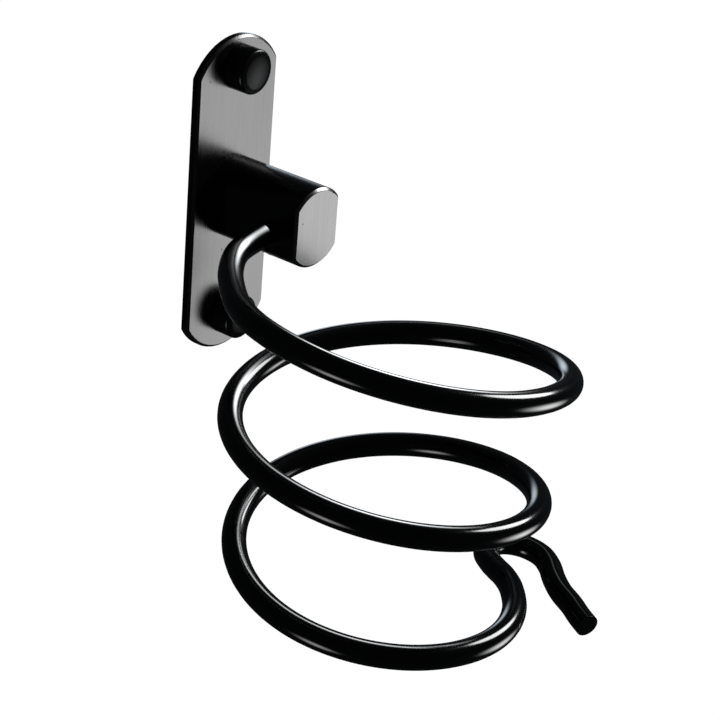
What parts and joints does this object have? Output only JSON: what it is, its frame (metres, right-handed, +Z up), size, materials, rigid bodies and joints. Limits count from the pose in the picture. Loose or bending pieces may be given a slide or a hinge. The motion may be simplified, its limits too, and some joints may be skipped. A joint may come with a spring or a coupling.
{
  "type": "hair dryer holder",
  "caption": "Wall-mounted hair dryer holder: a plate and short arm carry a tapering coil of round rod that cradles the barrel and ends in a plug hook.",
  "frame": {"origin": "on the wall, at the middle of the wall plate's back face", "axes": "+Z up, +Y into the wall, so the arm and the coil stand out along -Y; +X to the right seen from the room"},
  "size_m": [0.1121, 0.1229, 0.1554],
  "materials": {
    "plate_finish": "black satin-brushed steel plate",
    "arm_finish": "satin black coated bar, brushed end face",
    "rod_enamel": "glossy black coating",
    "cap_finish": "satin black coating",
    "seat_plastic": "moulded dark plastic",
    "screw_steel": "plain steel screws"
  },
  "bodies": {
    "holder": {"wall_plate": "plate_finish", "arm_post": "arm_finish", "arm_screws": "screw_steel", "coil_rod": "rod_enamel", "rod_grub_screw": "screw_steel", "upper_cap_seat": "seat_plastic", "lower_cap_seat": "seat_plastic"},
    "upper_cap": {"upper_screw_cap": "cap_finish"},
    "lower_cap": {"lower_screw_cap": "cap_finish"}
  },
  "joints": [
    {"name": "upper_cap_pull", "type": "slide", "parent": "holder", "child": "upper_cap", "axis": [0, -1, 0], "range_m": [0, 0.012]},
    {"name": "lower_cap_pull", "type": "slide", "parent": "holder", "child": "lower_cap", "axis": [0, -1, 0], "range_m": [0, 0.012]}
  ]
}
